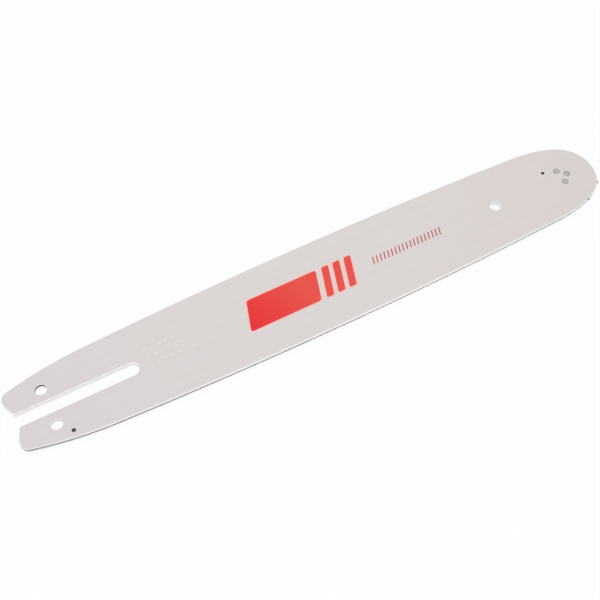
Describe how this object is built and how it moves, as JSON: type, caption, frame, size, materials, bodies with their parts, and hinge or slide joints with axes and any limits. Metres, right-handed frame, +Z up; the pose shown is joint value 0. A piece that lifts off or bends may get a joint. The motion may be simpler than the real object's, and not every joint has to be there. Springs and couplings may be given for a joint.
{
  "type": "chainsaw guide bar",
  "caption": "Flat laminated steel bar with bowed sides, an open stud slot at its tail and a turning sprocket in its rounded nose, which guides a saw chain in its edge groove.",
  "frame": {"origin": "centre of the bar's bounding box, on the surface it lies on", "axes": "+X along the bar from tail to nose, +Y across it away from the picture's viewer, +Z up through its thickness"},
  "size_m": [0.3894, 0.0602, 0.004],
  "materials": {
    "plate_steel": "satin ground",
    "core_steel": "rolled",
    "sprocket_steel": "hardened",
    "bearing_steel": "ground",
    "rivet_steel": "spun flush",
    "printed_ink": "satin print"
  },
  "bodies": {
    "bar": {"upper_side_plate": "plate_steel", "lower_side_plate": "plate_steel", "core_plate": "core_steel", "bearing_inner_race": "bearing_steel", "nose_rivets": "rivet_steel"},
    "sprocket": {"nose_sprocket": "sprocket_steel"},
    "roller_ring": {"roller_01": "bearing_steel", "roller_02": "bearing_steel", "roller_03": "bearing_steel", "roller_04": "bearing_steel", "roller_05": "bearing_steel", "roller_06": "bearing_steel", "roller_07": "bearing_steel", "roller_08": "bearing_steel", "roller_09": "bearing_steel", "roller_10": "bearing_steel", "roller_11": "bearing_steel", "roller_12": "bearing_steel", "roller_13": "bearing_steel", "roller_14": "bearing_steel", "roller_15": "bearing_steel", "roller_16": "bearing_steel", "roller_17": "bearing_steel"}
  },
  "joints": [
    {"name": "sprocket_spin", "type": "hinge", "parent": "bar", "child": "sprocket", "pos_m": [0.17108, 0, 0.002], "axis": [0, 0, 1], "continuous": true},
    {"name": "roller_orbit", "type": "hinge", "parent": "bar", "child": "roller_ring", "pos_m": [0.17108, 0, 0.002], "axis": [0, 0, 1], "continuous": true}
  ],
  "couplings": [
    {"joint": "roller_orbit", "follows": "sprocket_spin", "ratio": 0.58811}
  ]
}
